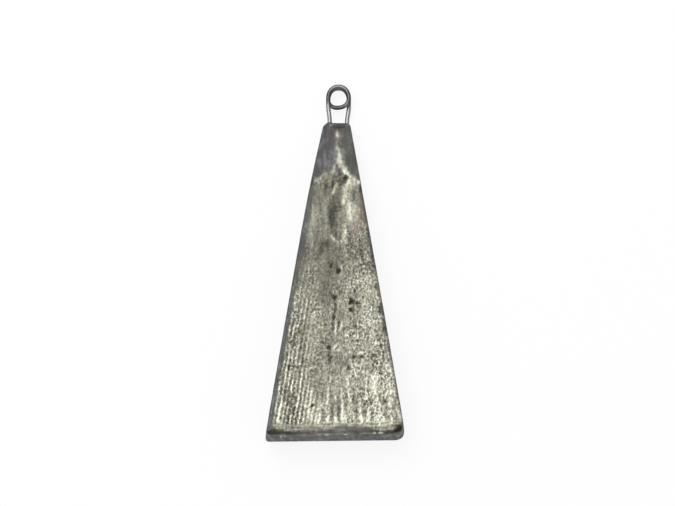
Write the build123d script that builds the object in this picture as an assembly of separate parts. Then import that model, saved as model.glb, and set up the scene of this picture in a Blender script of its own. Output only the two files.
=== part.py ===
from build123d import *
import math
import os

# Fishing sinker: a flat, drafted lead casting with a wire eye cast into its narrow end.
# It lies on its flat back. X runs across it, +Y towards the eye and +Z out of its front face.
# The origin is on the back, under the middle of the overall box. Sizes are in millimetres.

# Lead body: a wide base, a shoulder where the cap begins, and a narrow top end
body_length = 88.8
cap_length = 17.5
base_width = 38.4
shoulder_width = 14.6
top_width = 7.8
base_thickness = 13.0
top_thickness = 4.9
draft_angle = 3.0
steepest_front = 45.0

# Hipped cap: two facets fall from the front face to the sides and meet on a leaning ridge
cap_lean = 0.45
cap_fall = 4.1
crease_drop = 1.6
apex_rise = 3.0
ridge_foot_offset = 1.4

# Roundings of the casting: its corners are worn unlike each other
left_corner_radius = 1.3
right_corner_radius = 2.8
top_left_radius = 1.3
top_right_radius = 0.9
shoulder_radius = 60.0
crease_radius = 5.0
front_edge_radius = 0.8
corner_limit_share = 0.95

# Shrink hollow below the cap, where the lead sank as it set
hollow_clearance = 2.5
hollow_offset = 0.9
hollow_length = 17.0
hollow_width = 4.8
hollow_depth = 1.2
barrel_end_share = 0.5

# Wire eye: one and a half turns, with two legs that end in hooked feet inside the lead
wire_diameter = 1.2
eye_height = 11.2
coil_inner_diameter = 4.8
coil_gap = 0.5
left_cover = 1.55
right_cover = 0.4
leg_embed = 10.0
foot_bend_radius = 1.8
foot_length = 1.5
bend_start_share = 0.35
wire_level_share = 0.48

# Cutting tools reach past what they cut by this much
cut_overrun = 2.0

# Places along the length, in the part's frame, and the thickness where the cap begins
base_y = -(body_length + eye_height) / 2
top_y = base_y + body_length
shoulder_y = top_y - cap_length
crease_y = shoulder_y - crease_drop
apex_y = shoulder_y + apex_rise
apex_thickness = top_thickness + cap_fall
hollow_y = apex_y - hollow_clearance - hollow_length / 2

# The wire's levels above the back, the middle of its coil and where its legs enter the lead
coil_radius = (coil_inner_diameter + wire_diameter) / 2
coil_lift = wire_diameter + coil_gap
wire_level = top_thickness * wire_level_share
upper_level = wire_level + coil_lift / 2
lower_level = wire_level - coil_lift / 2
coil_y = top_y + eye_height - wire_diameter / 2 - coil_radius
left_entry = cap_lean - top_width / 2 + left_cover + wire_diameter / 2
right_entry = cap_lean + top_width / 2 - right_cover - wire_diameter / 2
eye_x = (left_entry + right_entry) / 2


def front_level(y):
    """Height of the sloping front face above the back."""
    fall = (base_thickness - apex_thickness) / (apex_y - base_y)
    return base_thickness - fall * (y - base_y)


def half_width(y):
    """Half the width of the back, below the shoulder."""
    taper = (base_width - shoulder_width) / (shoulder_y - base_y)
    return (base_width - taper * (y - base_y)) / 2


def plane_through(a, b, c):
    """Plane through three points, with its normal upwards."""
    normal = (b - a).cross(c - a)
    if normal.Z < 0:
        normal = -normal
    return Plane(origin=a, z_dir=normal)


def drafted_block():
    """The outline of the back, drawn up with draft on every side to above the front face."""
    left_top = (cap_lean - top_width / 2, top_y)
    right_top = (cap_lean + top_width / 2, top_y)
    right_side = [(base_width / 2, base_y), (shoulder_width / 2, shoulder_y), right_top]
    left_side = [left_top, (-shoulder_width / 2, shoulder_y), (-base_width / 2, base_y)]
    radii = [0, shoulder_radius, 0, 0, shoulder_radius, 0]
    outline = FilletPolyline(*right_side, *left_side, radius=radii, close=True)
    block = extrude(make_face(outline), amount=base_thickness + cut_overrun, taper=draft_angle)
    corners = [
        ((-base_width / 2, base_y), left_corner_radius),
        ((base_width / 2, base_y), right_corner_radius),
        (left_top, top_left_radius),
        (right_top, top_right_radius),
    ]
    for corner, radius in corners:
        foot = block.vertices().sort_by_distance((*corner, 0))[0]
        riser = [e for e in block.edges() if foot in e.vertices() and e.center().Z > 0]
        block = fillet(riser, radius)
    return block


def cap_planes():
    """The front face, then the left and right facets of the cap."""
    left = Vector(-half_width(crease_y), crease_y, front_level(crease_y))
    right = Vector(half_width(crease_y), crease_y, front_level(crease_y))
    apex = Vector(ridge_foot_offset, apex_y, front_level(apex_y))
    ridge_end = Vector(cap_lean, top_y, top_thickness)
    return [
        plane_through(left, right, apex),
        plane_through(left, apex, ridge_end),
        plane_through(right, apex, ridge_end),
    ]


def upper_edges(block, sharing):
    """Edges of the faces that look upwards, shared by one or two of those faces."""
    least_rise = math.cos(math.radians(steepest_front))
    upper = block.faces().filter_by(lambda face: face.normal_at().Z > least_rise)
    return [e for e in block.edges() if sum(e in face.edges() for face in upper) == sharing]


def shrink_hollow():
    """Barrel lying along the front face, whose belly presses the hollow."""
    belly_radius = ((hollow_width / 2) ** 2 + hollow_depth**2) / (2 * hollow_depth)
    bow_radius = ((hollow_length / 2) ** 2 + hollow_depth**2) / (2 * hollow_depth)
    axis_level = belly_radius - hollow_depth
    end_level = axis_level * barrel_end_share
    end = math.sqrt(bow_radius**2 - (bow_radius - hollow_depth - end_level) ** 2)
    belly = ThreePointArc((-end, end_level), (0, -hollow_depth), (end, end_level))
    rest = Polyline((end, end_level), (end, axis_level), (-end, axis_level), (-end, end_level))
    barrel = revolve(make_face([belly, rest]), axis=Axis((0, axis_level, 0), (1, 0, 0)))
    middle = Vector(hollow_offset, hollow_y, front_level(hollow_y))
    along = Vector(0, apex_y - base_y, apex_thickness - base_thickness)
    return Plane(origin=middle, x_dir=along, z_dir=(1, 0, 0)) * barrel


def leg(side, level):
    """One leg from the coil down to the tip of its foot; side is -1 on the left and 1 on the right."""
    top = Vector(eye_x + side * coil_radius, coil_y, level)
    bend_start = top - Vector(0, (coil_y - top_y) * bend_start_share, 0)
    entry = Vector(left_entry if side < 0 else right_entry, top_y, level)
    half_bend = Vector(0, (bend_start.Y - top_y) / 2, 0)
    hook_start = entry - Vector(0, leg_embed, 0)
    hook_centre = hook_start - Vector(side * foot_bend_radius, 0, 0)
    hook_middle = hook_centre + Vector(side, -1, 0).normalized() * foot_bend_radius
    hook_end = hook_centre - Vector(0, foot_bend_radius, 0)
    return [
        Line(top, bend_start),
        Bezier(bend_start, bend_start - half_bend, entry + half_bend, entry),
        Line(entry, hook_start),
        ThreePointArc(hook_start, hook_middle, hook_end),
        Line(hook_end, hook_end - Vector(side * foot_length, 0, 0)),
    ]


def half_turn(side, start_level, end_level, height):
    """Half a turn of the coil from one side to the other, over a point at this height from its middle."""
    start = Vector(eye_x + side * coil_radius, coil_y, start_level)
    middle = Vector(eye_x, coil_y + height, (start_level + end_level) / 2)
    end = Vector(eye_x - side * coil_radius, coil_y, end_level)
    return ThreePointArc(start, middle, end)


def wire_path():
    """The wire's centre line: up the left leg, one and a half turns, and down the right leg."""
    under_radius = math.hypot(coil_radius, coil_lift / 2)
    turns = [
        half_turn(-1, upper_level, upper_level, coil_radius),
        half_turn(1, upper_level, lower_level, -under_radius),
        half_turn(-1, lower_level, lower_level, coil_radius),
    ]
    return Wire([*leg(-1, upper_level), *turns, *leg(1, lower_level)])


def least_gap(path, count=400):
    """Least gap between stretches of the wire that lie further apart along it than half a turn."""
    points = [path @ (i / count) for i in range(count + 1)]
    apart = math.ceil(count * math.pi * coil_radius / path.length)
    pairs = [(a, b) for i, a in enumerate(points) for b in points[i + apart :]]
    return min((a - b).length for a, b in pairs) - wire_diameter


def make_wire_eye():
    path = wire_path()
    section = Plane(origin=path @ 0, z_dir=path % 0) * Circle(wire_diameter / 2)
    wire = sweep(section, path=path)
    expected = math.pi * (wire_diameter / 2) ** 2 * path.length
    print(f"wire: length {path.length:.2f}, volume {wire.volume:.3f} of {expected:.3f}")
    print(f"wire: least gap to itself {least_gap(path):.3f}")
    return wire


def make_lead_body(wire):
    block = drafted_block()
    for plane in cap_planes():
        block = split(block, bisect_by=plane, keep=Keep.BOTTOM)
    block = fillet(upper_edges(block, 2), crease_radius)
    tightest = min(left_corner_radius, right_corner_radius, top_left_radius, top_right_radius)
    block = fillet(upper_edges(block, 1), min(front_edge_radius, tightest * corner_limit_share))
    return block - shrink_hollow() - wire


wire_eye = make_wire_eye()
lead_body = make_lead_body(wire_eye)

os.makedirs("parts", exist_ok=True)
export_step(lead_body, "parts/lead_body.step")
export_step(wire_eye, "parts/wire_eye.step")
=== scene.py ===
import math
import bmesh
import bpy
from mathutils import Matrix, Vector, noise


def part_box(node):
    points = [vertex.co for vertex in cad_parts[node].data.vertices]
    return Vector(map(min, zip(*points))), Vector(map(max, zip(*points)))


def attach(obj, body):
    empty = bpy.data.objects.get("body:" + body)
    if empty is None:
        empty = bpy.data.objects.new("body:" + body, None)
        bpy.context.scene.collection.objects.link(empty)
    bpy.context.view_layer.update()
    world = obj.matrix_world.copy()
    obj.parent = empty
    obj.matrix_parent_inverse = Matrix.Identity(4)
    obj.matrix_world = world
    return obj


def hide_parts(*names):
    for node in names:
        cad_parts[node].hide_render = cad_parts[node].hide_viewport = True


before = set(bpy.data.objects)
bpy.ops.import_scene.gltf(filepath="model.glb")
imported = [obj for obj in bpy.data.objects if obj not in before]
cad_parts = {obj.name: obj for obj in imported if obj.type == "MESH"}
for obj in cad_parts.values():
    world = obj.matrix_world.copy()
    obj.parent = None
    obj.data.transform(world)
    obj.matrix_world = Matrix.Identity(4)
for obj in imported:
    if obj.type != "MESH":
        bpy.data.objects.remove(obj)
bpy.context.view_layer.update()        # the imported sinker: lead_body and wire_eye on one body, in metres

# A cast lead fishing sinker lying on its back, with a coiled wire eye. Sizes below are in millimetres.
mm = 0.001
scene = bpy.context.scene
leadLow, leadHigh = [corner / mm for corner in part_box("lead_body")]
leadLength = leadHigh.y - leadLow.y


def addObject(name, data):
    thing = bpy.data.objects.new(name, data)
    scene.collection.objects.link(thing)
    return thing


def finishMesh(name, bm):
    bmesh.ops.recalc_face_normals(bm, faces=bm.faces)
    bmesh.ops.scale(bm, vec=(mm, mm, mm), verts=bm.verts)
    mesh = bpy.data.meshes.new(name)
    bm.to_mesh(mesh)
    bm.free()
    mesh.shade_smooth()
    return addObject(name, mesh)


def clamp(value):
    return min(max(value, 0.0), 1.0)


def smooth(start, end, value):        # 0 before start, 1 after end, eased between
    share = clamp((value - start) / (end - start))
    return share * share * (3 - 2 * share)


def softMin(a, b, width):        # the lower of two, eased where they differ by less than the width
    share = clamp(0.5 + 0.5 * (b - a) / width)
    return b + (a - b) * share - width * share * (1 - share)


def blend(row, *shares):        # a plain amount, and what each share adds to it
    return row[0] + sum(amount * share for amount, share in zip(row[1:], shares))


def spotShare(x, y, middle, radii):        # 1 in the middle of an ellipse, 0 at its edge
    reach = ((x - middle[0]) / radii[0]) ** 2 + ((y - middle[1]) / radii[1]) ** 2
    return (1 - reach) ** 2 if reach < 1 else 0.0


def lineGap(x, y, line):        # distance to a run of points
    gap = 1e9
    for (ax, ay), (bx, by) in zip(line, line[1:]):
        alongX, alongY = bx - ax, by - ay
        share = clamp(((x - ax) * alongX + (y - ay) * alongY) / (alongX**2 + alongY**2))
        gap = min(gap, math.hypot(x - ax - share * alongX, y - ay - share * alongY))
    return gap


# Camera
cameraSet = {
    "elevation": 78.0,        # degrees above the floor, looking from the base towards the eye
    "distance": 500.0,
    "target": (0.58, 1.32, 5.0),
    "lens": 97.3,
    "sensor": 36.0,
}


def makeCamera():
    lens = bpy.data.cameras.new("camera")
    lens.sensor_width = cameraSet["sensor"]
    lens.lens = cameraSet["lens"]
    camera = addObject("camera", lens)
    tilt = math.radians(cameraSet["elevation"])
    back = Vector((0, -math.cos(tilt), math.sin(tilt)))
    camera.location = (Vector(cameraSet["target"]) + back * cameraSet["distance"]) * mm
    camera.rotation_euler = (-back).to_track_quat("-Z", "Y").to_euler()
    scene.camera = camera


makeCamera()
print("camera placed")

# Wire eye
wireForm = {
    "diameter": 1.2,
    "sides": 28,
    "step": 0.22,
    "coilMiddle": (0.87, 45.95),        # at the widest place of the coil
    "coilRadius": 2.88,
    "coilRise": 3.45,        # from there to its top and to its bottom
    "coilDrop": 2.45,
    "coilPower": 0.92,        # below 1 the turns are fuller than an ellipse
    "levels": (3.2, 1.5),        # upper and lower strands
    "entries": {-1: -1.6, 1: 3.25},        # where the legs enter the lead
    "bendShare": 0.2,        # straight part of a leg below the coil
    "embed": 10.0,        # straight part inside the lead
    "footBend": 1.8,
    "footLength": 1.5,
    "turnSteps": 24,        # steps of a half turn, of a leg and of the bend at its foot
    "legSteps": 16,
    "footSteps": 8,
    "plainBright": 0.12,        # how bright the wire is, then what its top, legs and bottom add: the coil darker as tarnish and painted shade, the top arc lighter as painted highlight, the legs lighter as bare metal and painted highlight
    "topPaintedHighlight": (0.5, 1.4, 3.6),        # with the heights over the middle where that starts and is full
    "legBareAndPaintedHighlight": (0.86, -0.7, -3.3),
    "bottomBright": (0.08, -0.6, -2.2),
    "legSide": (1.5, 2.3),        # distances from the middle, clear of a leg and on it
}


def bezierPoint(a, b, c, d, share):
    rest = 1 - share
    return a * rest**3 + b * (3 * rest**2 * share) + c * (3 * rest * share**2) + d * share**3


def legPoints(side, level):        # from the coil down to the tip of the foot
    form = wireForm
    coilX, coilY = form["coilMiddle"]
    entryY = leadHigh.y
    top = Vector((coilX + side * form["coilRadius"], coilY, level))
    bend = top - Vector((0, (coilY - entryY) * form["bendShare"], 0))
    entry = Vector((form["entries"][side], entryY, level))
    half = Vector((0, (bend.y - entryY) / 2, 0))
    hook = entry - Vector((0, form["embed"], 0))
    middle = hook - Vector((side * form["footBend"], 0, 0))
    points = [top]
    for i in range(form["legSteps"] + 1):
        points.append(bezierPoint(bend, bend - half, entry + half, entry, i / form["legSteps"]))
    points.append(hook)
    for i in range(1, form["footSteps"] + 1):
        turn = math.radians(90 * i / form["footSteps"])
        points.append(middle + Vector((side * math.cos(turn), -math.sin(turn), 0)) * form["footBend"])
    points.append(points[-1] - Vector((side * form["footLength"], 0, 0)))
    return points


def halfTurn(side, startLevel, endLevel, rise):        # from one side of the coil to the other
    coilX, coilY = wireForm["coilMiddle"]
    power, steps = wireForm["coilPower"], wireForm["turnSteps"]
    middle = Vector((coilX, coilY, (startLevel + endLevel) / 2))
    across = Vector((side * wireForm["coilRadius"], 0, (startLevel - endLevel) / 2))
    over = Vector((0, rise, 0))
    points = []
    for i in range(1, steps):
        sideways, upward = math.cos(math.pi * i / steps), math.sin(math.pi * i / steps)
        sideways = math.copysign(abs(sideways) ** power, sideways)
        points.append(middle + across * sideways + over * upward**power)
    return points


def evenPoints(points, step):        # the same line in even steps
    steps = [0.0]
    for a, b in zip(points, points[1:]):
        steps.append(steps[-1] + (b - a).length)
    count = round(steps[-1] / step)
    even, index = [], 0
    for i in range(count + 1):
        at = steps[-1] * i / count
        while index < len(points) - 2 and steps[index + 1] < at:
            index += 1
        share = (at - steps[index]) / (steps[index + 1] - steps[index])
        even.append(points[index].lerp(points[index + 1], share))
    return even


def wireLine():        # from the left foot round the coil to the right foot
    form = wireForm
    coilX, coilY = form["coilMiddle"]
    upper, lower = form["levels"]
    line = list(reversed(legPoints(-1, upper)))
    line += halfTurn(-1, upper, upper, form["coilRise"])
    line += [Vector((coilX + form["coilRadius"], coilY, upper))]
    line += halfTurn(1, upper, lower, -form["coilDrop"])
    line += [Vector((coilX - form["coilRadius"], coilY, lower))]
    line += halfTurn(-1, lower, lower, form["coilRise"])
    line += legPoints(1, lower)
    return evenPoints(line, form["step"])


# tarnish and painted light of the wire: a lighter top arc and legs, a darker coil
def wireTarnishAndPaintedLight(x, y):
    form = wireForm
    off, rise = abs(x - form["coilMiddle"][0]), y - form["coilMiddle"][1]
    clear, onLeg = form["legSide"]
    top, legs, bottom = [
        share * smooth(start, full, rise)
        for share, start, full in (form["topPaintedHighlight"], form["legBareAndPaintedHighlight"], form["bottomBright"])
    ]
    bright = form["plainBright"] + top
    bright += legs * smooth(clear, onLeg, off) + bottom * smooth(onLeg, clear, off)
    return clamp(bright)


def makeWire():
    line = wireLine()
    bm = bmesh.new()
    bmesh.ops.create_circle(bm, cap_ends=False, radius=wireForm["diameter"] / 2, segments=wireForm["sides"])
    heading = (line[1] - line[0]).normalized()
    tilt = Vector((0, 0, 1)).rotation_difference(heading).to_matrix().to_4x4()
    bmesh.ops.transform(bm, matrix=Matrix.Translation(line[0]) @ tilt, verts=bm.verts)
    ring = list(bm.edges)
    for index in range(1, len(line)):
        ahead = line[min(index + 1, len(line) - 1)] - line[index - 1]
        turn = heading.rotation_difference(ahead.normalized()).to_matrix().to_4x4()
        heading = ahead.normalized()
        grown = bmesh.ops.extrude_edge_only(bm, edges=ring)["geom"]
        verts = [g for g in grown if isinstance(g, bmesh.types.BMVert)]
        edges = [g for g in grown if isinstance(g, bmesh.types.BMEdge)]
        ring = [e for e in edges if all(v in verts for v in e.verts)]
        move = Matrix.Translation(line[index]) @ turn @ Matrix.Translation(-line[index - 1])
        bmesh.ops.transform(bm, matrix=move, verts=verts)
    bmesh.ops.holes_fill(bm, edges=[e for e in bm.edges if e.is_boundary])
    masks = bm.verts.layers.float_color.new("wireMasks")        # how bright the wire is: tarnish, with painted highlights and painted shade
    for vert in bm.verts:
        vert[masks] = (wireTarnishAndPaintedLight(vert.co.x, vert.co.y), 0.0, 0.0, 1.0)
    return finishMesh("bent_wire_eye", bm)


# Lead casting
leadForm = {
    "faces": (98, 172, 14),        # across, along and through; the front is twice as fine
    "baseHalf": 19.18,        # half widths of the back
    "shoulderHalf": 7.3,
    "topHalf": 3.9,
    "bow": 0.12,        # how far the long sides bow out halfway
    "capLength": 17.5,
    "capLean": 0.45,        # how far the cap leans to the right
    "kneeBlend": 0.25,
    "draft": math.tan(math.radians(3.0)),
    "baseThick": 12.76,
    "apexThick": 9.0,
    "topThick": 4.9,
    "apexDrop": 14.5,        # from the top end down to the highest point of the crease
    "archMiddle": 0.4,
    "archFall": (0.05, 0.008, 2.2),        # how the cap falls away to its sides
    "creaseBlend": 0.35,
    "creaseHalf": 0.25,        # the finish changes over this height on both sides of the crease
    "rimRadius": 0.8,
    "backRadius": 0.35,
    "corners": {(-1, 0): 1.3, (1, 0): 3.0, (-1, 1): 1.3, (1, 1): 0.9},        # radii, by side and end
    "baseSlant": 0.45,        # the right end of the base is this much higher
    "collarRise": 0.5,        # lead drawn up round the legs
    "collarReach": 0.95,
    "frontEdge": (0.0, 0.7),        # the relief starts and is full this far in from the edges
    "backEdge": (0.4, 3.0),
    "backHollow": 0.05,
    "sideEdge": (0.0, 0.6),
    "sideRipple": 0.05,
    "gridEdge": 0.999,        # points beyond this height of the grid are on the front or the back
    "endFacing": 0.7,        # sides that face an end by more than this belong to it
    "plainSkin": (0.5, 1.0, 0.0),        # light, mould skin, and grime and painted shade of the back and the sides
    "plainCoarse": 0.3,
}
shoulderAt = leadLength - leadForm["capLength"]        # from the base to the shoulders

leadNoise = {        # scale across, scale along and seed
    "lineBreaks": (3.7, 0.25, 1.3),
    "lineBeads": (5.3, 1.3, 2.9),
    "wanderWide": (0.15, 0.05, 3.1),
    "wanderFine": (0.7, 0.45, 7.7),
    "veins": (0.95, 0.65, 5.0),
    "fineGrain": (1.9, 1.1, 11.0),
    "beads": (1.1, 0.5, 17.0),
    "swell": (0.16, 0.09, 23.0),
    "combed": (0.9, 0.16, 27.0),
    "footStreaks": (0.3, 2.2, 91.0),
    "grainPatches": (0.22, 0.16, 33.0),
    "ragged": (1.1, 0.8, 51.0),
    "patchy": (1.2, 0.8, 61.0),
    "cool": (0.12, 0.1, 73.0),
    "capStreaks": (0.9, 0.25, 71.0),
    "capPatches": (0.4, 0.3, 75.0),
    "capRelief": (1.2, 0.3, 71.0),
    "marginWide": (0.5, 0.3, 81.0),
    "marginFine": (1.3, 0.9, 83.0),
    "marginBreaks": (0.3, 0.28, 85.0),
    "skinWide": (0.25, 0.2, 45.0),
    "skinFine": (0.9, 0.6, 44.0),
    "darkWidth": (0.35, 0, 46.0),
    "darkShare": (0.45, 0, 48.0),
    "back": (0.18, 0.12, 29.0),
    "sides": (0.35, 0.5, 37.0),
    "baseStreaks": (0.8, 0.2, 39.0),
    "baseGrain": (2.0, 0.5, 41.0),
    "baseCool": (0.2, 0.2, 43.0),
    "basePink": (0.6, 0.3, 49.0),
    "baseGlints": (1.5, 0.6, 47.0),
}

frontSpans = {        # where a share of the worn front is 0 and where it is 1
    "up": (-46, 22),        # heights along the casting
    "lower": (5, -19),
    "foot": (-34, -43),
    "deep": (-22, -46),
    "run": (-46.9, -45.7),        # the lines run out here, above the base
    "rightGrain": (16, 4),
    "left": (-0.1, -0.45),        # places across, in half widths
    "right": (0.05, 0.45),
    "lineBreaks": (-0.5, 0.4),        # values of noise
    "grainPatches": (-0.3, 0.5),
    "marginBreaks": (-0.1, 0.3),
}

frontTexture = {        # first the plain amount, then what each share adds
    "linePitch": 1.1,        # raised lines beside the left side
    "streaks": 8.2,        # wider ones over the foot, on each half of the front
    "crest": (1.2, 0.4, 0.32),        # power of a line's crest, its least strength and the level taken off
    "beading": (0.85, 0.6),
    "wander": (0, 0.35, 0.17),        # wide and fine
    "runSlant": 0.5,        # the lines end higher up on the right
    "lineDepth": (0.48, 0.47),        # deepest at the base
    "linedStart": (-0.3, 0.15),        # the lined part is wider over the foot
    "linedEnd": (-0.6, 0.12),
    "lineShare": (0.12, 0.88),        # in the lined part
    "streakShare": (0.8, -0.25),        # on the right
    "veinCrest": (0.62, -2.0),        # away from the middle of a vein
    "veinUp": (1, -0.8),
    "veinRight": (0.25, 0.75),
    "grain": (0, 0.6, 0.4),        # fine grain and beads
    "grainShare": (0.45, 0.3, 0.15),        # lower down and on the right
    "height": (0, 0.13, 0.10, 0.072, 0.06, 0.06),        # lines, swell, grain, veins, streaks
    "light": (0.575, -0.13, 0.03, -0.05, -0.08),        # up, right, upper middle, below the lines
    # light of the lines, grain, veins, streaks, swell and combing; on the lines this is wear and painted
    # light, lighter crests and darker troughs
    "reliefLight": (0, 0.86, 0.28, 0.18, 0.3, 0.08, 0.14),
    "coarse": (0.34, 0.2, 0.26, 0.14, 0.28),        # lower down, there right and left, upper right
    "coarsePatches": (0.75, 0.5),
    "coarseRun": (0.45, 0.55),        # above the end of the lines
}

capFinish = {
    "leftSlope": (0.5, -2.0),        # places across where it starts and is full
    "light": (0.485, 0.03),        # on the left slope
    "streaks": (0.1, 0.2),        # on the left slope
    "patches": 0.12,
    "relief": 0.03,
    "coolSlope": (2.6, -1.6),
}

marginFinish = {        # dark mould skin along the edges of the front
    "widths": (1.65, 0.75, 0.3),        # left side, right side and top end
    "wander": (0, 0.6, 0.6),        # wide and fine
    "fade": (0.5, 0.35),        # inside and outside the width
    "breaks": (0.15, 0.85),        # along the right side
    "light": 0.46,
    "lightShare": 0.6,
    "skinShare": 0.92,
    "bareShare": 1.2,        # how much a light mark bares the skin
    "warmShare": 0.85,        # above the base
}

baseFinish = {
    "reach": [        # place across, and how far the skin comes up the front there
        (-17.0, 1.6),
        (-12.0, 0.6),
        (-7.0, 0.6),
        (-3.0, 1.0),
        (1.0, 1.9),
        (5.0, 1.7),
        (9.5, 1.2),
        (13.0, 0.6),
        (17.0, 1.0),
    ],
    "wander": (0, 0.4, 0.35),        # wide and fine
    "skinEdge": (-0.6, 0.4),
    "edgeShadeLine": (0.9, 1.8, 1.2),        # least width, what noise adds and fade
    "darkShare": (-0.2, 1.4, 0.5),        # towards the corners, and noise
    "light": (0.5, 0.5, 0.35),        # streaks and grain
    "cool": (0, 1, 0.3),        # low down, and noise
    "coolEdge": (8, 3),
    "pinkShare": (0.75, 0.9),
    "glintShare": (1.2, 1.2),
    "glintLight": 0.9,
    "glintBare": 1.3,
    "glints": [        # painted glints: middle and radii on the base, across and up
        ((-14.5, 8.8), (0.55, 2.0)),
        ((-13.5, 8.8), (0.55, 2.0)),
        ((-4.2, 10.4), (0.5, 1.8)),
        ((-2.3, 10.5), (0.9, 1.8)),
        ((2.7, 10.9), (0.8, 1.4)),
        ((10.2, 12.2), (0.9, 1.6)),
        ((12.0, 12.2), (1.0, 1.6)),
    ],
    "tones": [        # middle, radii and light of broad patches
        ((-10.0, 7.2), (8.0, 2.8), -0.5),
        ((-1.5, 7.6), (6.0, 2.4), -0.45),
        ((10.0, 9.2), (4.5, 2.8), -0.45),
        ((0.0, 12.0), (9.0, 2.2), 0.4),
    ],
    "pink": ((-5.5, 9.0), (14.0, 7.0)),        # tinted patch on the base
}

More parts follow.
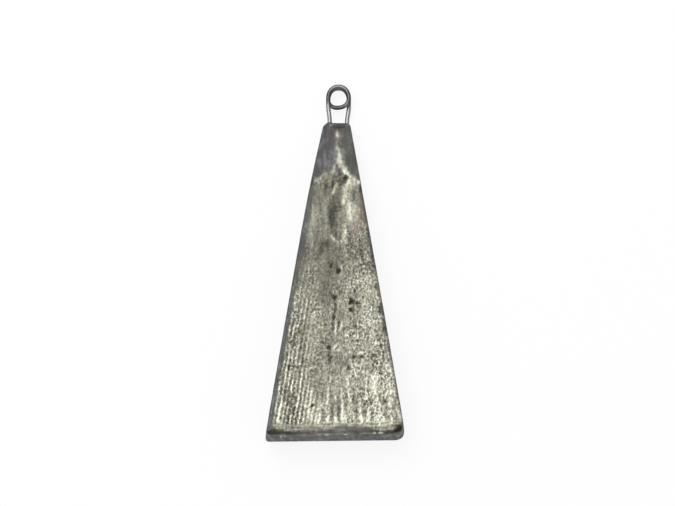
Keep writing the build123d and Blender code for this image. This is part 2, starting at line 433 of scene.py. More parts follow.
leadMarks = {        # what was placed one by one
    "ragged": (1, 0.5),        # edges of the marks, then their strength
    "patchy": (0.9, 0.8),
    "strokeReach": 2.2,        # a mark is left out beyond this many widths
    "spotReach": 1.5,
    "strokes": [        # points, half width, height, light, grime and painted shade, rust
        ([(0.4, 35.3), (0.5, 34.3)], 0.6, 0.12, 0.42, 0.0, 0.0),        # ridge of the cap, from its top, painted as a highlight
        ([(0.6, 33.9), (0.8, 31.4)], 1.15, 0.15, 0.24, 0.0, 0.25),
        ([(-1.2, 35.4), (-1.3, 32.0)], 1.0, -0.04, -0.30, 0.0, 0.35),
        ([(0.3, 31.6), (0.6, 29.9)], 0.8, 0.10, 0.03, 0.0, 0.0),
        ([(1.0, 29.7), (1.2, 27.0)], 1.0, 0.18, 0.56, 0.0, 0.0),
        ([(1.8, 26.2), (2.5, 24.2)], 0.95, 0.20, 0.48, 0.0, 0.0),
        ([(2.6, 24.0), (3.0, 22.8)], 0.7, 0.20, 0.52, 0.0, 0.0),
        ([(0.9, 26.4), (1.0, 24.6)], 0.9, 0.12, 0.22, 0.0, 0.50),
        ([(-0.3, 24.6), (-0.5, 23.2)], 0.6, 0.14, 0.46, 0.0, 0.0),
        ([(-1.3, 26.2), (-1.7, 24.2)], 0.9, 0.05, 0.05, 0.0, 0.0),
        # painted shadow below the end of the ridge, with some rust
        ([(1.2, 23.9), (1.5, 22.4)], 0.45, -0.15, -0.15, 0.45, 0.5),
        ([(-2.9, 22.4), (-3.9, 21.8), (-5.2, 20.6)], 0.9, 0.14, 0.22, 0.0, 0.0),        # rolled creases, painted as highlights along the shoulder
        ([(-1.7, 23.1), (-2.6, 22.6)], 0.5, 0.12, 0.08, 0.0, 0.0),
        ([(-4.3, 22.0), (-6.0, 20.1)], 0.4, 0.07, 0.10, 0.0, 0.0),
        ([(-4.5, 20.0), (-4.4, 17.0)], 0.6, 0.06, 0.10, 0.0, 0.0),
        ([(4.2, 22.2), (5.8, 21.0), (6.5, 20.3)], 0.7, 0.12, 0.16, 0.0, 0.0),
        ([(4.9, 21.4), (5.0, 18.6)], 0.8, 0.06, 0.10, 0.0, 0.0),
        ([(3.9, 20.3), (2.5, 18.5)], 0.7, 0.06, 0.24, 0.0, 0.0),        # right rim of the hollow, painted as a highlight on its lit wall
        ([(3.0, 17.2), (2.2, 14.4)], 0.8, 0.04, 0.16, 0.0, 0.0),
        ([(3.6, 15.4), (3.9, 9.2)], 1.7, 0.04, 0.06, 0.0, 0.0),
        ([(5.0, 17.2), (5.0, 15.2)], 0.8, -0.05, -0.16, 0.08, 0.0),
        ([(-0.9, 4.9), (0.1, 3.5), (1.2, 3.1), (2.2, 4.0), (2.9, 6.2)], 0.45, 0.08, 0.30, 0.0, 0.0),
        ([(0.4, 19.6), (-0.6, 17.4)], 0.45, 0.06, 0.42, 0.0, 0.0),
        ([(-0.6, 20.0), (-0.7, 18.7)], 0.4, -0.04, -0.08, 0.12, 0.0),
        ([(-6.2, 5.4), (-6.3, 3.2)], 0.45, 0.06, 0.18, 0.0, 0.0),
        ([(7.0, 17.2), (7.4, 13.0), (7.9, 9.8)], 0.8, -0.05, -0.12, 0.15, 0.6),        # brown right edge
        ([(4.6, 7.6), (6.4, 6.2)], 0.9, 0.0, 0.0, 0.0, 0.5),
        ([(8.8, 6.5), (10.1, -2.0)], 0.7, 0.0, -0.15, 0.2, 0.0),
        ([(-0.1, -13.0), (0.1, -14.6), (0.0, -16.4)], 0.32, -0.15, -0.20, 0.35, 0.0),        # flow marks
        ([(-0.2, -17.0), (-0.5, -18.6), (-0.6, -21.0)], 0.34, -0.15, -0.22, 0.35, 0.0),
        ([(0.4, -19.6), (0.2, -21.0), (0.0, -22.4)], 0.5, 0.14, 0.34, 0.0, 0.0),
        ([(1.8, -19.2), (1.4, -21.2)], 0.45, 0.12, 0.30, 0.0, 0.0),
        ([(1.1, -19.0), (0.8, -20.8)], 0.3, -0.12, -0.22, 0.3, 0.0),
        ([(-1.6, -25.8), (-1.3, -28.4), (-1.6, -30.2)], 0.4, -0.16, -0.20, 0.35, 0.0),
        ([(-3.6, -24.2), (-2.1, -25.8)], 0.35, -0.10, -0.16, 0.15, 0.0),
        ([(0.9, -24.9), (-1.0, -26.7)], 0.26, 0.10, 0.34, 0.0, 0.0),
        ([(0.8, -26.8), (2.3, -25.4), (3.6, -25.8), (4.2, -27.6)], 0.4, 0.08, 0.14, 0.0, 0.0),
        ([(4.7, -28.4), (5.3, -28.4)], 0.36, -0.16, -0.2, 0.5, 0.0),        # casting pits
        ([(6.8, -28.4), (7.4, -28.4)], 0.36, -0.18, -0.25, 0.6, 0.0),
        ([(-6.8, -42.0), (-5.6, -41.4)], 0.3, -0.20, -0.5, 0.9, 0.0),
        ([(-7.7, -42.2), (-6.9, -41.8)], 0.3, 0.12, 0.4, 0.0, 0.0),
        ([(10.4, -33.7), (10.9, -38.1), (11.7, -46.6)], 1.0, 0.10, 0.29, 0.0, 0.0),        # bright streaks
        ([(4.6, -30.4), (5.7, -34.0)], 0.42, 0.10, 0.28, 0.0, 0.0),
        ([(8.3, -34.4), (9.1, -44.0)], 0.45, 0.10, 0.28, 0.0, 0.0),
        ([(3.4, -34.6), (3.7, -39.6), (3.1, -46.0)], 0.42, 0.10, 0.24, 0.0, 0.0),
        ([(1.5, -37.4), (1.9, -42.6), (1.6, -45.8)], 0.42, 0.10, 0.20, 0.0, 0.0),
        ([(-15.2, -38.4), (-16.4, -46.2)], 0.4, 0.08, 0.22, 0.0, 0.0),
        ([(-14.1, -40.0), (-14.8, -46.2)], 0.4, 0.08, 0.30, 0.0, 0.0),
    ],
    "spots": [        # middle, radii, height, light, grime and painted shade, rust
        ((4.6, -13.2), (1.1, 0.95), -0.30, -0.3, 1.0, 0.0),        # more pits
        ((6.2, -13.8), (1.0, 0.45), -0.20, -0.3, 0.9, 0.0),
        ((3.8, -13.6), (0.6, 0.5), -0.15, -0.25, 0.7, 0.0),
        ((4.3, -15.5), (0.8, 0.95), -0.25, -0.3, 1.0, 0.0),
        ((5.2, -10.3), (0.5, 1.0), -0.20, -0.25, 0.8, 0.0),
        ((0.95, -4.8), (0.85, 0.85), -0.35, -0.3, 0.75, 0.0),
        ((1.8, -3.7), (0.8, 1.3), 0.08, 0.2, 0.0, 0.0),
        ((-1.0, -3.4), (0.6, 1.3), -0.08, -0.18, 0.2, 0.0),
        ((1.0, 11.6), (3.4, 9.5), -0.42, 0.0, 0.0, 0.0),        # shrink hollow, with painted shade on its left wall
        ((0.0, 10.9), (2.8, 8.8), 0.0, -0.11, 0.02, 0.0),
        ((-0.8, 14.6), (1.2, 2.4), -0.04, -0.05, 0.08, 0.45),
        ((-3.0, 10.5), (1.7, 5.0), 0.0, 0.07, 0.0, 0.0),
        ((1.1, 15.8), (1.3, 3.0), 0.0, -0.13, 0.0, 0.0),
        # painted highlight right of the hollow
        ((4.5, 11.6), (3.1, 6.8), 0.0, 0.15, 0.0, 0.0),
        # painted shadow where the ridge steps down to the front
        ((2.85, 21.6), (1.3, 0.8), -0.25, -0.3, 0.85, 0.0),
        ((2.4, 20.4), (1.1, 1.1), -0.08, -0.15, 0.35, 0.0),
        ((1.2, 19.8), (2.4, 3.2), -0.08, -0.17, 0.05, 0.0),
        ((-2.2, 18.6), (1.9, 3.8), 0.0, -0.10, 0.0, 0.0),
        ((6.6, 20.4), (0.8, 0.8), 0.15, 0.9, -0.3, 0.0),        # nick in the right edge
        ((7.1, 18.5), (0.8, 1.5), -0.08, -0.2, 0.7, 0.0),
        ((-6.6, 20.2), (1.0, 2.0), 0.0, -0.15, 0.6, 0.0),
        # painted glints
        ((-6.25, 2.4), (0.5, 0.9), 0.08, 0.30, 0.0, 0.0),
        ((8.2, 0.5), (0.5, 0.8), 0.06, 0.30, 0.0, 0.0),
        ((-3.4, 17.6), (2.2, 3.4), 0.0, -0.07, 0.0, 0.0),        # broad patches
        ((-5.2, 11.8), (1.4, 3.4), 0.0, 0.05, 0.0, 0.35),
        ((6.4, 9.6), (1.8, 4.6), 0.0, 0.06, 0.0, 0.4),
        ((1.6, 6.2), (1.9, 2.6), 0.0, 0.18, 0.0, 0.0),
        ((-2.2, 3.0), (3.0, 1.7), -0.04, -0.17, 0.1, 0.0),
        ((-8.6, 1.5), (2.0, 7.0), 0.0, -0.10, 0.0, 0.0),
        ((-10.1, -3.4), (1.6, 2.6), 0.0, 0.0, 0.0, 0.5),
        ((-10.9, -9.2), (1.8, 3.6), 0.0, 0.18, 0.0, 0.0),
        ((-11.7, -15.6), (1.8, 5.0), 0.0, 0.16, 0.0, 0.0),
        ((-4.2, -1.0), (6.5, 9.0), 0.0, -0.12, 0.0, 0.0),
        ((5.7, 0.7), (4.4, 4.4), 0.0, -0.18, 0.0, 0.0),
        ((8.6, -7.4), (5.0, 4.6), 0.0, 0.13, 0.0, 0.0),
        ((1.4, -5.8), (2.2, 3.6), 0.0, 0.08, 0.0, 0.0),
        ((-2.0, -12.0), (5.0, 6.0), 0.0, -0.07, 0.0, 0.0),
        ((1.6, -16.8), (1.7, 1.8), 0.0, -0.2, 0.0, 0.0),
        ((8.2, -17.0), (5.0, 11.0), 0.0, 0.09, 0.0, 0.0),
        ((13.7, -32.2), (2.2, 2.4), 0.0, 0.18, 0.0, 0.0),
        ((9.5, -32.2), (1.8, 2.0), 0.0, -0.13, 0.0, 0.0),
        ((15.0, -39.5), (2.6, 9.0), 0.0, 0.15, 0.0, 0.0),
        ((-2.4, -41.6), (2.8, 3.8), 0.0, 0.12, 0.0, 0.0),
        ((-7.0, -43.6), (5.5, 8.5), 0.0, 0.15, 0.0, 0.0),
        ((1.6, -42.0), (2.6, 8.0), 0.0, -0.06, 0.0, 0.0),
        ((2.0, -44.8), (16.0, 2.4), 0.0, 0.08, 0.0, 0.0),
        ((9.6, -45.6), (7.0, 1.4), 0.0, 0.18, 0.0, 0.0),
        ((13.3, -45.9), (2.2, 1.6), 0.0, 0.10, 0.0, 0.0),
        ((-1.6, -46.4), (5.5, 1.2), 0.0, 0.18, 0.0, 0.0),
        ((-14.5, -46.6), (3.5, 1.0), 0.0, 0.12, 0.0, 0.0),
        ((1.0, -48.7), (8.0, 1.0), 0.0, 0.16, 0.0, 0.0),
        # painted glints on the rounded edge above the base
        ((10.2, -48.8), (0.9, 0.6), 0.0, 0.5, 0.0, 0.0),
        ((12.0, -48.8), (1.0, 0.6), 0.0, 0.5, 0.0, 0.0),
        ((-0.2, -12.1), (1.0, 0.95), -0.20, -0.3, 1.0, 0.0),        # dark wedge and the painted glints below it
        ((1.2, -13.3), (0.9, 1.2), 0.10, 0.22, 0.0, 0.0),
        ((-0.8, -14.3), (0.6, 0.7), 0.08, 0.28, 0.0, 0.0),
        ((4.2, -18.1), (0.5, 0.5), -0.10, -0.3, 0.7, 0.0),
        ((3.7, -31.5), (0.7, 1.1), -0.15, -0.3, 0.7, 0.0),
        ((2.4, -30.0), (2.4, 2.4), 0.0, -0.14, 0.0, 0.0),
        ((10.7, -28.2), (1.5, 0.8), -0.12, -0.2, 0.45, 0.0),
        ((12.3, -25.6), (0.5, 0.9), -0.10, -0.3, 0.6, 0.0),
        ((11.3, -24.8), (0.8, 1.2), 0.08, 0.32, 0.0, 0.0),
        ((8.2, -25.4), (2.4, 1.8), 0.0, 0.02, 0.0, 0.4),
        ((11.0, -9.0), (0.8, 1.5), -0.04, -0.15, 0.35, 0.0),        # dark ticks on the right edge
        ((12.3, -15.6), (1.2, 2.4), -0.06, -0.2, 0.5, 0.0),
        ((13.2, -20.7), (1.0, 1.6), -0.06, -0.25, 0.6, 0.0),
        ((17.0, -48.0), (1.9, 2.2), -0.05, -0.3, 0.9, 0.0),
        ((-1.3, 37.9), (0.9, 1.5), 0.16, 0.12, 0.0, 0.0),        # lead drawn up round the legs
        ((3.3, 37.9), (0.9, 1.5), 0.16, 0.08, 0.0, 0.0),
        ((0.9, 37.1), (3.4, 0.8), -0.06, -0.15, 0.45, 0.0),
    ],
}


def grit(x, y, kind):        # one of the noises, about -1 to 1
    across, along, seed = leadNoise[kind]
    return noise.noise((x * across, y * along, seed))


def spanShare(kind, value):
    return smooth(*frontSpans[kind], value)


def halfWidth(fromBase):
    form = leadForm
    base, shoulder, top = form["baseHalf"], form["shoulderHalf"], form["topHalf"]
    lower = base + (shoulder - base) * fromBase / shoulderAt
    lower += form["bow"] * math.sin(math.pi * clamp(fromBase / shoulderAt))
    upper = shoulder + (top - shoulder) * (fromBase - shoulderAt) / form["capLength"]
    return softMin(lower, upper, form["kneeBlend"])


def frontLevel(x, y):        # height of the front, and whether it belongs to the cap
    form = leadForm
    apexY = leadHigh.y - form["apexDrop"]
    fall = (form["baseThick"] - form["apexThick"]) / (apexY - leadLow.y)
    front = form["baseThick"] - fall * (y - leadLow.y)
    capFall = (form["apexThick"] - form["topThick"]) / form["apexDrop"]
    off = abs(x - form["archMiddle"])
    straight, curved, power = form["archFall"]
    cap = form["apexThick"] - capFall * (y - apexY) - straight * off - curved * off**power
    onCap = smooth(-form["creaseHalf"], form["creaseHalf"], front - cap)
    return softMin(front, cap, form["creaseBlend"]), onCap


def leanAt(fromBase):
    capLength = leadForm["capLength"]
    return leadForm["capLean"] * smooth(0, 2 * capLength, fromBase - shoulderAt + capLength / 2)


def roundEdge(inside, along, radius):        # how far to move in, and the new distance along
    onEdge = max(inside, along) >= radius - 1e-9
    shrink = radius / math.hypot(inside, along) if onEdge else 1.0
    return inside * (1 - shrink), along * shrink


def shapeLead(corner):        # from the cube's grid to the drafted, rounded casting
    form = leadForm
    u, v = corner.x, (corner.y + 1) / 2
    w = 0.5 - 0.5 * math.cos(math.pi * (corner.z + 1) / 2)        # closer rows at both edges
    level, onCap = frontLevel(u * halfWidth(v * leadLength), leadLow.y + v * leadLength)
    z = w * level
    inset = z * form["draft"]
    half = halfWidth(v * leadLength) - inset
    y = leadLow.y + inset + v * (leadLength - 2 * inset)
    x = u * half
    side, end = (1 if u > 0 else -1), (1 if v > 0.5 else 0)
    endSign = 1 if end else -1
    radius = form["corners"][side, end]
    inX = half - abs(x)
    inY = min(y - leadLow.y - inset, leadHigh.y - inset - y)
    depth = min(inX, inY)
    outX, outY = max(radius - inX, 0.0), max(radius - inY, 0.0)
    if outX > 0 and outY > 0:        # turn the square corner into a round one
        reach = math.hypot(outX, outY)
        outward = Vector((side * outX / reach, endSign * outY / reach, 0))
        x += outward.x * (radius - depth) - side * outX
        y += outward.y * (radius - depth) - endSign * outY
    elif inX < inY:
        outward = Vector((side, 0, 0))
    else:
        outward = Vector((0, endSign, 0))
    rim, back = form["rimRadius"], form["backRadius"]
    moved = 0.0
    if depth < rim and z > level - rim:        # round the front edge
        moved, along = roundEdge(rim - depth, z - (level - rim), rim)
        z = level - rim + along
    elif depth < back and z < back:        # ease the back edge
        moved, along = roundEdge(back - depth, back - z, back)
        z = back - along
    place = Vector((x, y, z)) - outward * moved
    place.x += leanAt(v * leadLength)
    place.y += form["baseSlant"] * (1 - v) * (u + 1) / 2
    return place, depth, onCap, outward


def castLines(phase, y):        # broken, beaded crests, one at each whole step of the phase
    power, least, level = frontTexture["crest"]
    crest = (0.5 + 0.5 * math.cos(2 * math.pi * phase)) ** power
    strength = least + (1 - least) * spanShare("lineBreaks", grit(round(phase), y, "lineBreaks"))
    return crest * strength * blend(frontTexture["beading"], grit(round(phase), y, "lineBeads")) - level


def frontRelief(x, y, s):        # height, light and coarseness of the worn front
    texture = frontTexture
    up, lower, foot = [spanShare(kind, y) for kind in ("up", "lower", "foot")]
    left, right = spanShare("left", s), spanShare("right", s)
    run = spanShare("run", y - texture["runSlant"] * s)
    wander = blend(texture["wander"], grit(x, y, "wanderWide"), grit(x, y, "wanderFine"))
    lined = smooth(blend(texture["linedStart"], foot), blend(texture["linedEnd"], foot), s)
    fromLeft = (x + halfWidth(y - leadLow.y)) / texture["linePitch"]
    lines = lower * blend(texture["lineDepth"], spanShare("deep", y)) * blend(texture["lineShare"], lined)
    lines *= castLines(fromLeft + wander, y)
    wider = foot * (1 - lined) * blend(texture["streakShare"], right)
    lines = run * (lines + wider * castLines(texture["streaks"] * s + wander, y))
    veins = run * blend(texture["veinUp"], up) * blend(texture["veinRight"], right)
    veins *= blend(texture["veinCrest"], abs(grit(x, y, "veins")))
    grain = blend(texture["grain"], grit(x, y, "fineGrain"), grit(x, y, "beads"))
    grain *= blend(texture["grainShare"], lower, right)
    streaks = (1 - run) * grit(x, y, "footStreaks")
    swell = grit(x, y, "swell")
    combed = (1 - lower) * grit(x, y, "combed")
    height = blend(texture["height"], lines, swell, grain, veins, streaks)
    light = blend(texture["light"], up, right, (1 - left) * (1 - right) * up, 1 - run)
    # lines lighter on their crests and darker between them: wear and painted light
    light += blend(texture["reliefLight"], lines, grain, veins, streaks, swell, combed)
    upperRight = right * (1 - lower) * spanShare("rightGrain", y)
    coarse = blend(texture["coarse"], lower, lower * right, lower * left, upperRight)
    coarse *= blend(texture["coarsePatches"], spanShare("grainPatches", grit(x, y, "grainPatches")))
    return height, light, coarse * blend(texture["coarseRun"], run)


def markRelief(x, y):        # height, light, grime and painted shade, and rust that the strokes and spots add
    marks = leadMarks
    sums = [0.0] * 4
    ragged = blend(marks["ragged"], grit(x, y, "ragged"))
    patchy = blend(marks["patchy"], grit(x, y, "patchy"))
    for line, half, *amounts in marks["strokes"]:
        reach = marks["strokeReach"] * half
        if min(p[1] for p in line) - reach < y < max(p[1] for p in line) + reach:
            share = math.exp(-((lineGap(x, y, line) / (half * ragged)) ** 2)) * patchy
            sums = [total + amount * share for total, amount in zip(sums, amounts)]
    for middle, radii, *amounts in marks["spots"]:
        if abs(y - middle[1]) < marks["spotReach"] * radii[1]:
            edge = 1 + (ragged - 1) / max(1, radii[0], radii[1] / 2)        # large spots are smoother
            share = spotShare(x, y, middle, (radii[0] * edge, radii[1] * edge))
            sums = [total + amount * share for total, amount in zip(sums, amounts)]
    return sums


def capLight(x, y):
    leftSlope = smooth(*capFinish["leftSlope"], x)
    light = blend(capFinish["light"], leftSlope) + capFinish["patches"] * grit(x, y, "capPatches")
    return light + blend(capFinish["streaks"], leftSlope) * grit(x, y, "capStreaks")


def marginShare(x, y, depth, outward):
    left, right, end = marginFinish["widths"]
    width = end if abs(outward.x) < 0.5 else right if outward.x > 0 else left
    wander = blend(marginFinish["wander"], grit(x, y, "marginWide"), grit(x, y, "marginFine"))
    inside, outside = marginFinish["fade"]
    margin = 1 - smooth(width - inside, width + outside, depth + wander)
    if outward.x > 0.5:
        margin *= blend(marginFinish["breaks"], spanShare("marginBreaks", grit(x, y, "marginBreaks")))
    return margin


def skinReach(x):
    points = baseFinish["reach"]
    for (ax, a), (bx, b) in zip(points, points[1:]):
        if x < bx:
            return a + (b - a) * clamp((x - ax) / (bx - ax))
    return points[-1][1]


def baseSkin(x, below):        # skin, and the dark line of painted shade along the ragged, rolled lower edge of the worn front
    across = x / leadForm["baseHalf"]
    gap = below + skinReach(x)
    gap += blend(baseFinish["wander"], grit(x, below, "skinWide"), grit(x, below, "skinFine"))
    least, added, fade = baseFinish["edgeShadeLine"]
    width = least + added * clamp(0.5 + grit(x, 0, "darkWidth"))
    skin = smooth(*baseFinish["skinEdge"], gap)
    share = clamp(blend(baseFinish["darkShare"], across**2, grit(x, 0, "darkShare")))
    return skin, share * skin * (1 - smooth(width, width + fade, gap))


def frontLook(x, y, s, depth, onCap, outward):        # rise, masks and tints of a point of the front
    height, light, coarse = frontRelief(x, y, s)
    markHeight, markLight, grimeAndShade, rust = markRelief(x, y)
    height = height * (1 - onCap) + capFinish["relief"] * onCap * grit(x, y, "capRelief")
    light = light * (1 - onCap) + capLight(x, y) * onCap + markLight
    cool = 0.5 + 0.5 * grit(x, y, "cool")
    margin = marginShare(x, y, depth, outward)
    if outward.y < -0.5:        # above the base
        margin, edgeShadeLine = baseSkin(x, -depth)
        # painted shade along the rolled lower edge
        grimeAndShade += edgeShadeLine
        cool *= 1 - marginFinish["warmShare"] * margin
    skin = max(onCap, marginFinish["skinShare"] * margin * (1 - onCap))
    skin *= 1 - clamp(marginFinish["bareShare"] * markLight)
    light += marginFinish["lightShare"] * margin * (1 - onCap) * (marginFinish["light"] - light)
    cool = cool * (1 - onCap) + onCap * smooth(*capFinish["coolSlope"], x)
    rise = smooth(*leadForm["frontEdge"], depth) * (height + markHeight)
    return rise, (light, skin, grimeAndShade), (rust, cool, coarse * (1 - onCap))


def baseLook(x, z):        # masks and tints of the base, with painted glints; the worn front ends above it in a dark line of painted shade
    finish = baseFinish
    light = blend(finish["light"], grit(x, z, "baseStreaks"), grit(x, z, "baseGrain"))
    skin, grimeAndShade = baseSkin(x, leadForm["baseThick"] - z)
    cool = blend(finish["cool"], smooth(*finish["coolEdge"], z), grit(x, z, "baseCool"))
    rust = spotShare(x, z, *finish["pink"]) * blend(finish["pinkShare"], grit(x, z, "basePink"))
    for middle, radii, glow in finish["tones"]:
        light += glow * spotShare(x, z, middle, radii)
    # painted glints lift the light and bare the skin
    for middle, radii in finish["glints"]:
        share = spotShare(x, z, middle, radii) * blend(finish["glintShare"], grit(x, z, "baseGlints"))
        light += finish["glintLight"] * share
        skin -= clamp(finish["glintBare"] * share)
        grimeAndShade -= clamp(share)
    return (light, skin, grimeAndShade), (rust, cool)


def collarRise(x, z):        # lead drawn up round the legs
    rise = 0.0
    for side, level in zip((-1, 1), wireForm["levels"]):
        off = math.hypot(x - wireForm["entries"][side], z - level)
        rise += leadForm["collarRise"] * math.exp(-((off / leadForm["collarReach"]) ** 2))
    return rise


def leadGrid():
    bm = bmesh.new()
    bmesh.ops.create_cube(bm, size=2)
    for axis, count in enumerate(leadForm["faces"]):
        along = [e for e in bm.edges if abs(e.verts[0].co[axis] - e.verts[1].co[axis]) > 1]
        bmesh.ops.subdivide_edges(bm, edges=along, cuts=count - 1, use_grid_fill=True)
    front = [e for e in bm.edges if all(v.co.z > leadForm["gridEdge"] for v in e.verts)]
    bmesh.ops.subdivide_edges(bm, edges=front, cuts=1, use_grid_fill=True)
    return bm


def makeLead():
    bm = leadGrid()
    print("lead grid", len(bm.verts), "points")
    masks = bm.verts.layers.float_color.new("leadMasks")        # light, mould skin, grime and painted shade
    tints = bm.verts.layers.float_color.new("leadTints")        # rust, cool grey, coarse grain
    form = leadForm
    for vert in bm.verts:
        onFront, onBack = vert.co.z > form["gridEdge"], vert.co.z < -form["gridEdge"]
        s = vert.co.x        # place across, in half widths
        place, depth, onCap, outward = shapeLead(vert.co)
        x, y, z = place
        looks, coarse = form["plainSkin"], form["plainCoarse"]
        hues = (0.0, 0.5 + 0.5 * grit(x, y, "cool"))
        if onFront:
            rise, looks, (*hues, coarse) = frontLook(x, y, s, depth, onCap, outward)
            place.z += rise
        elif onBack:
            place.z += smooth(*form["backEdge"], depth) * form["backHollow"] * (1 + grit(x, y, "back"))
        else:
            inward = form["sideRipple"] * (grit(x + y, z, "sides") - 1)
            place += outward * inward * smooth(*form["sideEdge"], z)
            if outward.y > form["endFacing"]:
                place.y += collarRise(x, z)
            elif outward.y < -form["endFacing"]:
                looks, hues = baseLook(x, z)
        vert.co = place
        vert[masks] = (*map(clamp, looks), 1.0)
        vert[tints] = (*map(clamp, hues), clamp(coarse), 1.0)
    return finishMesh("cast_lead", bm)


leadPiece = makeLead()
print("lead cast", len(leadPiece.data.polygons), "faces")
wirePiece = makeWire()
print("wire bent", len(wirePiece.data.polygons), "faces")


# Materials
def newMaterial(name):
    material = bpy.data.materials.new(name)
    material.use_nodes = True
    nodes, links = material.node_tree.nodes, material.node_tree.links
    return material, nodes, links, nodes["Principled BSDF"]


def addNoise(nodes, links, vector, scale, detail, roughness):
    texture = nodes.new("ShaderNodeTexNoise")
    texture.inputs["Detail"].default_value = detail
    texture.inputs["Roughness"].default_value = roughness
    links.new(vector, texture.inputs["Vector"])
    links.new(scale, texture.inputs["Scale"])
    return texture.outputs["Fac"]


def addMath(nodes, links, operation, first, second=None, third=None, clampIt=False):
    node = nodes.new("ShaderNodeMath")
    node.operation = operation
    node.use_clamp = clampIt
    for socket, value in zip(node.inputs, (first, second, third)):
        if value is None:
            continue
        if isinstance(value, (int, float)):
            socket.default_value = value
        else:
            links.new(value, socket)
    return node.outputs[0]


def addMix(nodes, links, share, first, second):
    node = nodes.new("ShaderNodeMix")
    node.data_type = "RGBA"
    for name, value in (("Factor_Float", share), ("A_Color", first), ("B_Color", second)):
        socket = next(i for i in node.inputs if i.identifier == name)
        if isinstance(value, tuple):
            socket.default_value = (*value, 1.0)
        else:
            links.new(value, socket)
    return next(o for o in node.outputs if o.identifier == "Result_Color")


def addRamp(nodes, links, value, stops):
    ramp = nodes.new("ShaderNodeValToRGB")
    elements = ramp.color_ramp.elements
    while len(elements) < len(stops):
        elements.new(0.5)
    for element, (position, colour) in zip(elements, stops):
        element.position = position
        element.color = (*colour, 1.0)
    links.new(value, ramp.inputs["Fac"])
    return ramp.outputs["Color"]


def addMasks(nodes, links, name):
    attribute = nodes.new("ShaderNodeAttribute")
    attribute.attribute_name = name
    parts = nodes.new("ShaderNodeSeparateColor")
    links.new(attribute.outputs["Color"], parts.inputs["Color"])
    return parts.outputs


grainForm = {
    "stretch": (1.0, 0.8, 1.0),        # drawn out along the casting
    "patches": (4.0, 0.6),        # detail and roughness
    "grain": (2.0, 0.5),
}


def makeGrainGroup():        # patches and fine grain of bare metal, for both finishes
    group = bpy.data.node_groups.new("metalGrain", "ShaderNodeTree")
    for name in ("Patch Scale", "Grain Scale"):
        group.interface.new_socket(name, in_out="INPUT", socket_type="NodeSocketFloat")
    for name in ("Patches", "Grain"):
        group.interface.new_socket(name, in_out="OUTPUT", socket_type="NodeSocketFloat")
    nodes, links = group.nodes, group.links
    scales = nodes.new("NodeGroupInput").outputs
    results = nodes.new("NodeGroupOutput").inputs
    where = nodes.new("ShaderNodeMapping")
    where.inputs["Scale"].default_value = grainForm["stretch"]
    links.new(nodes.new("ShaderNodeTexCoord").outputs["Object"], where.inputs["Vector"])
    where = where.outputs["Vector"]
    patches = addNoise(nodes, links, where, scales["Patch Scale"], *grainForm["patches"])
    grain = addNoise(nodes, links, where, scales["Grain Scale"], *grainForm["grain"])
    links.new(patches, results["Patches"])
    links.new(grain, results["Grain"])
    return group


grainGroup = makeGrainGroup()


def addGrain(nodes, patchScale, grainScale):
    node = nodes.new("ShaderNodeGroup")
    node.node_tree = grainGroup
    node.inputs["Patch Scale"].default_value = patchScale
    node.inputs["Grain Scale"].default_value = grainScale
    return node.outputs["Patches"], node.outputs["Grain"]


leadFinish = {
    "front": [        # worn front, from its hollows to its crests
        (0.0, (0.020, 0.019, 0.015)),
        (0.25, (0.073, 0.070, 0.056)),
        (0.5, (0.187, 0.181, 0.145)),
        (0.75, (0.394, 0.385, 0.308)),
        (1.0, (0.766, 0.755, 0.628)),
    ],
    "warmSkin": [(0.0, (0.038, 0.039, 0.034)), (0.5, (0.114, 0.116, 0.102)), (1.0, (0.330, 0.330, 0.300))],
    "coolSkin": [(0.0, (0.036, 0.035, 0.037)), (0.5, (0.104, 0.101, 0.105)), (1.0, (0.320, 0.312, 0.320))],
    # colour of grime and of painted shade
    "grimeAndShade": (0.024, 0.022, 0.017),
    "rust": (0.230, 0.175, 0.145),
    "rustShare": 0.6,
    "grainShare": 2.1,        # how much the fine grain and the patches change the tone
    "patchShare": 0.35,
    "skinGrain": 0.4,
    "skinPatches": 0.7,
    "coolPatches": 0.8,
    "metallic": (0.6, 0.3),        # bare front and skin
    "roughness": (0.36, 0.2, 0.1),        # least, with the grain and on the skin
    "specular": 0.25,
    "edgeTint": (0.4, 0.4, 0.4),
    "bump": 0.22,
    "patchScale": 260.0,
    "grainScale": 1900.0,
}


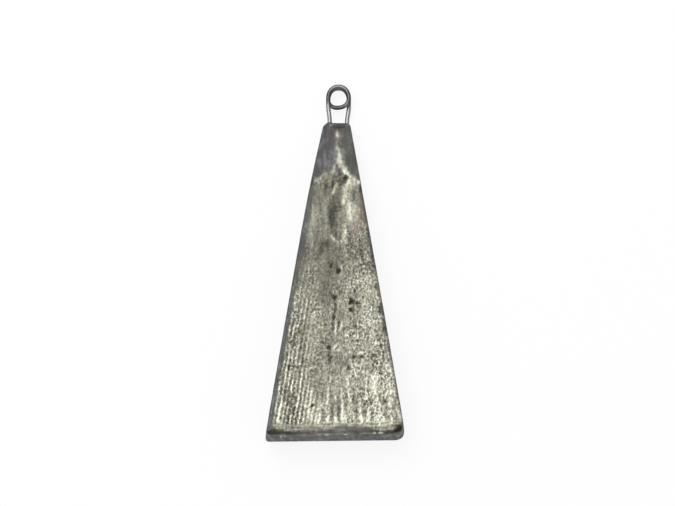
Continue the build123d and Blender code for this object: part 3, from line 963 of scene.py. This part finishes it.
def makeLeadMaterial():
    material, nodes, links, shader = newMaterial("cast_lead_grey")
    finish = leadFinish
    light, skin, grimeAndShade = addMasks(nodes, links, "leadMasks")
    rust, cool, coarse = addMasks(nodes, links, "leadTints")
    patches, grain = addGrain(nodes, finish["patchScale"], finish["grainScale"])
    evenGrain = addMath(nodes, links, "SUBTRACT", grain, 0.5)
    evenPatches = addMath(nodes, links, "SUBTRACT", patches, 0.5)
    grainTone = addMath(nodes, links, "MULTIPLY", evenGrain, coarse)
    value = addMath(nodes, links, "MULTIPLY_ADD", grainTone, finish["grainShare"], light)
    value = addMath(nodes, links, "MULTIPLY_ADD", evenPatches, finish["patchShare"], value, clampIt=True)
    front = addRamp(nodes, links, value, finish["front"])
    value = addMath(nodes, links, "MULTIPLY_ADD", evenPatches, finish["skinPatches"], light)
    value = addMath(nodes, links, "MULTIPLY_ADD", evenGrain, finish["skinGrain"], value, clampIt=True)
    coolPatches = addMath(nodes, links, "MULTIPLY", evenPatches, finish["coolPatches"])
    coolShare = addMath(nodes, links, "ADD", coolPatches, cool, clampIt=True)
    warm = addRamp(nodes, links, value, finish["warmSkin"])
    skinColour = addMix(nodes, links, coolShare, warm, addRamp(nodes, links, value, finish["coolSkin"]))
    colour = addMix(nodes, links, skin, front, skinColour)
    rusty = addMath(nodes, links, "MULTIPLY", rust, finish["rustShare"])
    colour = addMix(nodes, links, rusty, colour, finish["rust"])
    colour = addMix(nodes, links, grimeAndShade, colour, finish["grimeAndShade"])
    links.new(colour, shader.inputs["Base Color"])
    bare, dull = finish["metallic"]
    links.new(addMath(nodes, links, "MULTIPLY_ADD", skin, dull - bare, bare), shader.inputs["Metallic"])
    least, withGrain, onSkin = finish["roughness"]
    rough = addMath(nodes, links, "MULTIPLY_ADD", grain, withGrain, least)
    links.new(addMath(nodes, links, "MULTIPLY_ADD", skin, onSkin, rough), shader.inputs["Roughness"])
    shader.inputs["Specular IOR Level"].default_value = finish["specular"]
    shader.inputs["Specular Tint"].default_value = (*finish["edgeTint"], 1.0)
    bump = nodes.new("ShaderNodeBump")
    bump.inputs["Distance"].default_value = finish["bump"] * mm
    links.new(addMath(nodes, links, "MULTIPLY", grain, coarse), bump.inputs["Height"])
    links.new(bump.outputs["Normal"], shader.inputs["Normal"])
    return material


wireFinish = {
    "tones": [(0.0, (0.060, 0.060, 0.062)), (0.4, (0.175, 0.175, 0.178)), (1.0, (0.31, 0.31, 0.315))],
    "patchShare": 0.35,
    "metallic": 1.0,
    "roughness": (0.26, 0.2),
    "edgeTint": (0.12, 0.12, 0.12),
    "bump": 0.03,
    "patchScale": 700.0,
    "grainScale": 4000.0,
}


def makeWireMaterial():
    material, nodes, links, shader = newMaterial("drawn_steel_wire")
    finish = wireFinish
    patches, grain = addGrain(nodes, finish["patchScale"], finish["grainScale"])
    bright, _, _ = addMasks(nodes, links, "wireMasks")
    evenPatches = addMath(nodes, links, "SUBTRACT", patches, 0.5)
    value = addMath(nodes, links, "MULTIPLY_ADD", evenPatches, finish["patchShare"], bright, clampIt=True)
    links.new(addRamp(nodes, links, value, finish["tones"]), shader.inputs["Base Color"])
    shader.inputs["Metallic"].default_value = finish["metallic"]
    shader.inputs["Specular Tint"].default_value = (*finish["edgeTint"], 1.0)
    least, withGrain = finish["roughness"]
    links.new(addMath(nodes, links, "MULTIPLY_ADD", grain, withGrain, least), shader.inputs["Roughness"])
    bump = nodes.new("ShaderNodeBump")
    bump.inputs["Distance"].default_value = finish["bump"] * mm
    links.new(grain, bump.inputs["Height"])
    links.new(bump.outputs["Normal"], shader.inputs["Normal"])
    return material


leadPiece.data.materials.append(makeLeadMaterial())
wirePiece.data.materials.append(makeWireMaterial())
print("materials set")

# Stage and light
stageSet = {
    "floorSize": 6000.0,
    "floorDrop": 0.05,
    "floorColour": (0.95, 0.95, 0.95),
    "floorRoughness": 0.9,
    "worldColour": (0.61, 0.61, 0.62),
    "whiteShare": 0.86,        # how much of the floor's look is plain white
}
keyLamp = {
    "size": 640.0,
    "place": (-190.0, 255.0, 730.0),
    "power": 3.5,
}


def makeStage():
    bm = bmesh.new()
    bmesh.ops.create_grid(bm, x_segments=1, y_segments=1, size=stageSet["floorSize"] / 2)
    bmesh.ops.translate(bm, vec=(0, 0, -stageSet["floorDrop"]), verts=bm.verts)
    floor = finishMesh("floor", bm)
    material, nodes, links, shader = newMaterial("pale_floor")
    shader.inputs["Base Color"].default_value = (*stageSet["floorColour"], 1.0)
    shader.inputs["Roughness"].default_value = stageSet["floorRoughness"]
    rays = nodes.new("ShaderNodeLightPath").outputs
    seen = addMath(nodes, links, "ADD", rays["Is Camera Ray"], rays["Is Glossy Ray"])
    seen = addMath(nodes, links, "ADD", seen, rays["Is Transmission Ray"])
    white = nodes.new("ShaderNodeEmission")
    look = nodes.new("ShaderNodeMixShader")
    links.new(addMath(nodes, links, "MULTIPLY", seen, stageSet["whiteShare"]), look.inputs["Fac"])
    links.new(shader.outputs["BSDF"], look.inputs[1])
    links.new(white.outputs["Emission"], look.inputs[2])
    links.new(look.outputs["Shader"], nodes["Material Output"].inputs["Surface"])
    floor.data.materials.append(material)
    world = bpy.data.worlds.new("studio")
    world.use_nodes = True
    world.node_tree.nodes["Background"].inputs["Color"].default_value = (*stageSet["worldColour"], 1.0)
    scene.world = world


def makeLamp():
    lamp = bpy.data.lights.new("key", "AREA")
    lamp.shape = "DISK"
    lamp.size = keyLamp["size"] * mm
    lamp.energy = keyLamp["power"]
    place = Vector(keyLamp["place"])
    holder = addObject("key", lamp)
    holder.location = place * mm
    holder.rotation_euler = (-place).to_track_quat("-Z", "Y").to_euler()


makeStage()
makeLamp()
scene.view_settings.view_transform = "Standard"
print("stage lit")

for piece, node, slot in ((leadPiece, "lead_body", "lead"), (wirePiece, "wire_eye", "steel_wire")):
    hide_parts(node)
    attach(piece, "root")
